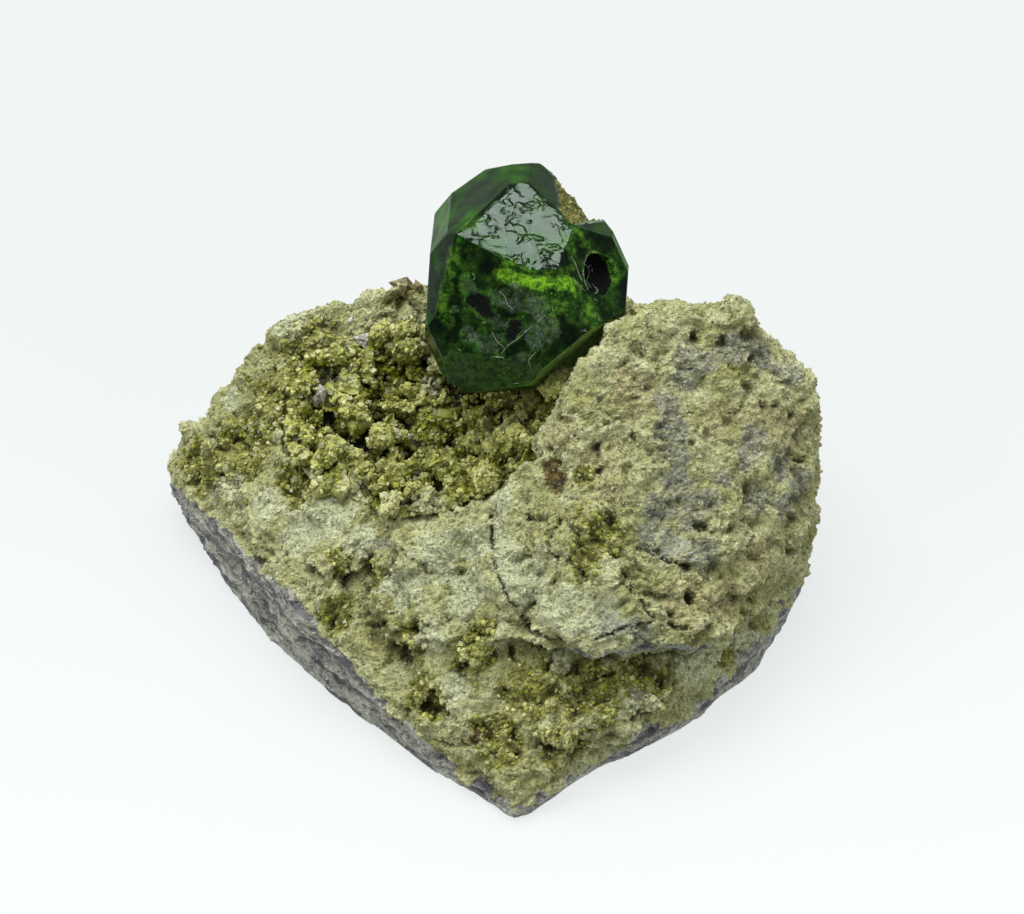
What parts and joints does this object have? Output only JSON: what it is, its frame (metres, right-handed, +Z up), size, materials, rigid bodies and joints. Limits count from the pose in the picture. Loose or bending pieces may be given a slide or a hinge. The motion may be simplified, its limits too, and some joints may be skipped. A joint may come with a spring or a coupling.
{
  "type": "demantoid garnet on matrix",
  "caption": "Deep green faceted demantoid garnet crystal seated beside a crystal-lined hollow on a pale, rough wedge of matrix rock that rests on its flat underside.",
  "frame": {"origin": "middle of the specimen's box, on the flat break that it rests on", "axes": "+Z up, +X to the right and +Y away from the sharp front corner, as the specimen is looked at"},
  "size_m": [0.0328, 0.0286, 0.0193],
  "materials": {
    "demantoid": "vitreous deep green crystal, one face etched",
    "matrix": "rough, granular, pale tan-green with grey-purple breaks",
    "druse": "sparkling olive-yellow small crystals"
  },
  "bodies": {
    "root": {"demantoid_crystal": "demantoid", "matrix_rock": "matrix", "garnet_druse": "druse"}
  },
  "joints": []
}
